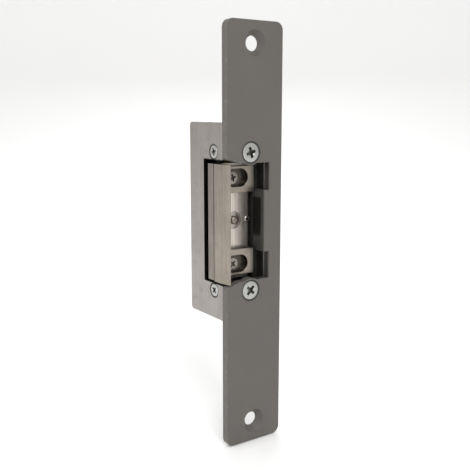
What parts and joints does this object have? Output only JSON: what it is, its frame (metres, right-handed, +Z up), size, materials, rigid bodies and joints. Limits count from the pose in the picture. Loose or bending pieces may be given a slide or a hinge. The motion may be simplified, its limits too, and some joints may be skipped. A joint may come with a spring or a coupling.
{
  "type": "electric door strike",
  "caption": "Electric door strike: long flat faceplate with a swinging sprung keeper, adjustable lip, solenoid-released lever and a slim cast case behind it.",
  "frame": {"origin": "midway between the faceplate's two fixing holes, on the faceplate's back face", "axes": "+Z up along the faceplate, -Y out of the faceplate towards the door, +X across it to the closed side"},
  "size_m": [0.025, 0.0255, 0.16],
  "materials": {
    "painted_plate": "satin grey powder coat",
    "zinc_screws": "bright zinc plating",
    "nickel_casting": "nickel-plated zinc casting",
    "nickel_sheet": "nickel-plated sheet, brushed",
    "nickel_lip": "nickel-plated, brushed lengthways",
    "bright_steel": "ground steel",
    "spring_steel": "drawn spring wire",
    "brass": "turned",
    "zinc_iron": "zinc-plated soft iron",
    "white_plastic": "moulded nylon",
    "copper": "enamelled copper wire",
    "amber_tape": "insulating tape",
    "black_wire": "insulated wire",
    "blue_coating": "dipped coating",
    "grey_plastic": "moulded nylon"
  },
  "bodies": {
    "frame": {"faceplate": "painted_plate", "faceplate_screws": "zinc_screws", "housing": "nickel_casting", "side_cover": "nickel_sheet", "cover_screws": "zinc_screws", "keeper_axle": "bright_steel", "keeper_spring": "spring_steel", "lever_pin": "bright_steel", "armature_pin": "bright_steel", "armature_spring": "spring_steel", "coil_bobbin": "white_plastic", "coil_winding": "copper", "coil_tape": "amber_tape", "coil_core": "zinc_iron", "yoke": "zinc_iron", "yoke_screw": "zinc_screws", "coil_leads": "black_wire", "varistor": "blue_coating", "terminal_block": "grey_plastic", "terminal_cages": "brass", "terminal_screws": "zinc_screws"},
    "keeper": {"keeper": "nickel_casting", "keeper_bushes": "brass", "lip_screws": "zinc_screws", "roll_pin": "bright_steel", "plunger_spring": "spring_steel", "plunger_plug": "brass"},
    "keeper_lip": {"keeper_lip": "nickel_lip"},
    "plunger": {"plunger": "bright_steel"},
    "locking_lever": {"locking_lever": "nickel_casting"},
    "armature": {"armature": "zinc_iron"}
  },
  "joints": [
    {"name": "keeper_swing", "type": "hinge", "parent": "frame", "child": "keeper", "pos_m": [-0.0071, 0.01, 0.007], "axis": [0, 0, -1], "range_deg": [0, 40], "stiffness_Nm_per_rad": 0.05, "springref_deg": -28.65},
    {"name": "lip_adjust", "type": "slide", "parent": "keeper", "child": "keeper_lip", "axis": [1, 0, 0], "range_m": [-0.0015, 0]},
    {"name": "plunger_press", "type": "slide", "parent": "keeper", "child": "plunger", "axis": [0, 1, 0], "range_m": [0, 0.001], "stiffness_N_per_m": 400, "springref_m": -0.001, "deforming": ["plunger_spring"]},
    {"name": "lever_turn", "type": "hinge", "parent": "frame", "child": "locking_lever", "pos_m": [0.0015, 0.0176, 0.007], "axis": [0, 0, -1], "range_deg": [0, 20]},
    {"name": "armature_lift", "type": "hinge", "parent": "frame", "child": "armature", "pos_m": [0.0053, 0.0165, 0.00785], "axis": [0, 1, 0], "range_deg": [0, 7], "deforming": ["armature_spring"]}
  ],
  "couplings": [
    {"joint": "lever_turn", "follows": "keeper_swing", "ratio": 0.5},
    {"joint": "armature_lift", "follows": "keeper_swing", "ratio": 0.175}
  ]
}
